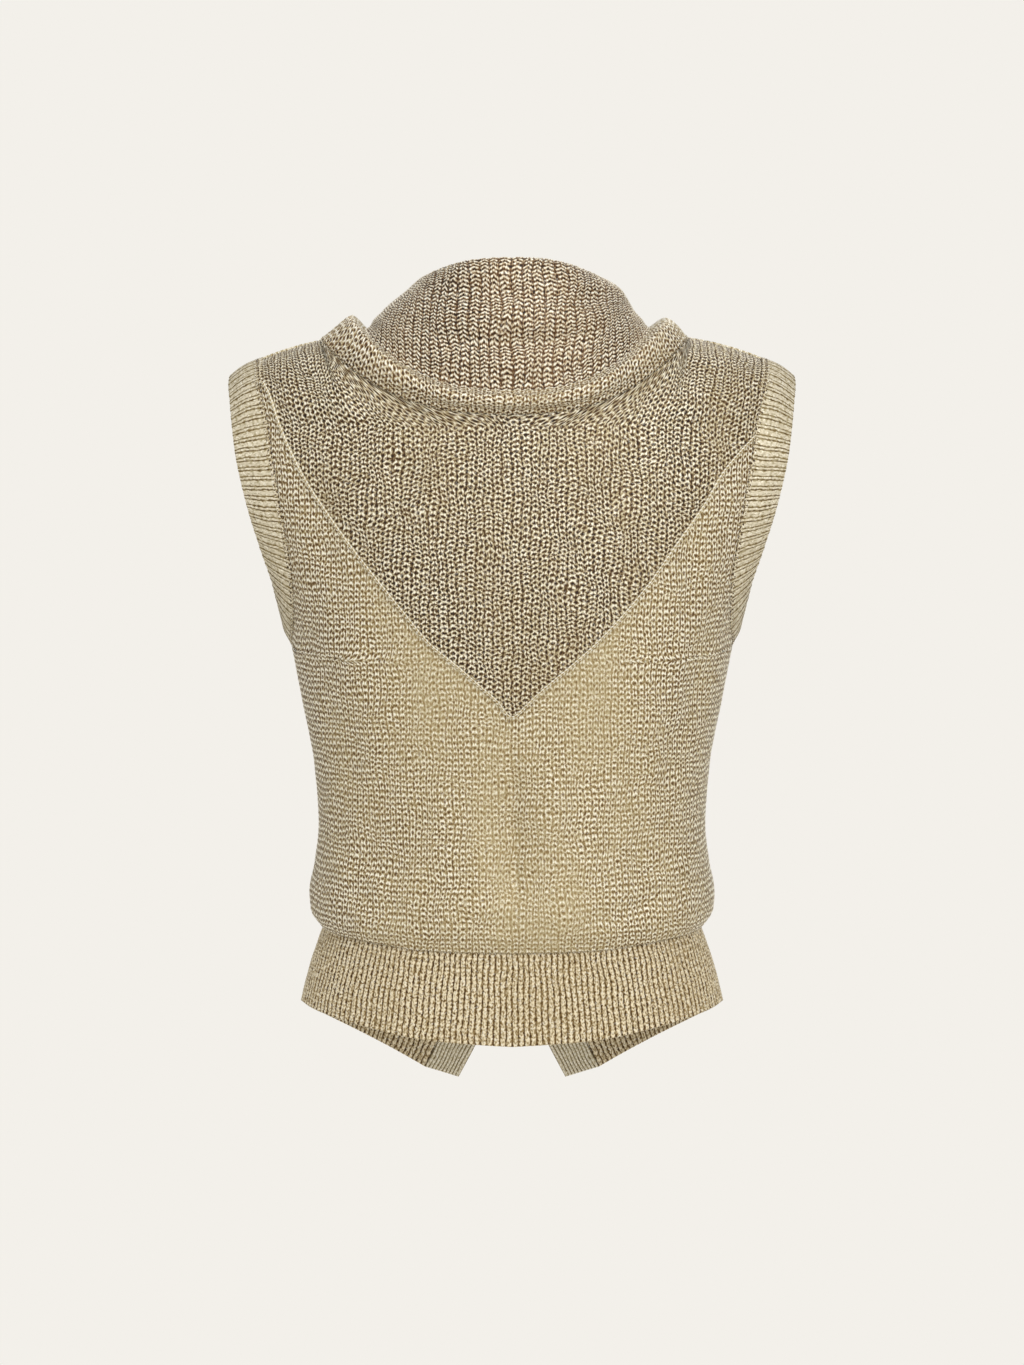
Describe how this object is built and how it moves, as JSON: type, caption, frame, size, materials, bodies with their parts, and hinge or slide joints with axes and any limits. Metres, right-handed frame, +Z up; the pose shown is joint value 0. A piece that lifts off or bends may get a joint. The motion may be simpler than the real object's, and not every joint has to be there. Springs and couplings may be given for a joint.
{
  "type": "sweater vest",
  "caption": "Sleeveless knitted waistcoat in its worn, hollow form, open down the front, with a slouched cowl, ribbed armholes, hem and front edges, and pointed fronts.",
  "frame": {"origin": "on the centre line, level with the shoulder seams and between them, where the wearer's shoulders hold the garment up", "axes": "+Z up, +Y towards the open front, so that the back faces -Y; +X towards the wearer's right"},
  "size_m": [0.4164, 0.233, 0.6433],
  "materials": {
    "fine_knit": "fine knit in gold and beige metallic yarn, satin with small glints",
    "coarse_knit": "coarse knit in the same metallic yarn, large open stitches",
    "rib": "ribbed knit in the same metallic yarn"
  },
  "bodies": {
    "root": {"back_body": "fine_knit", "back_yoke": "coarse_knit", "cowl": "coarse_knit", "front_left": "fine_knit", "front_right": "fine_knit", "hem_rib_back": "rib", "hem_rib_left": "rib", "hem_rib_right": "rib", "placket_left": "rib", "placket_right": "rib", "armhole_rib_left": "rib", "armhole_rib_right": "rib"}
  },
  "joints": []
}
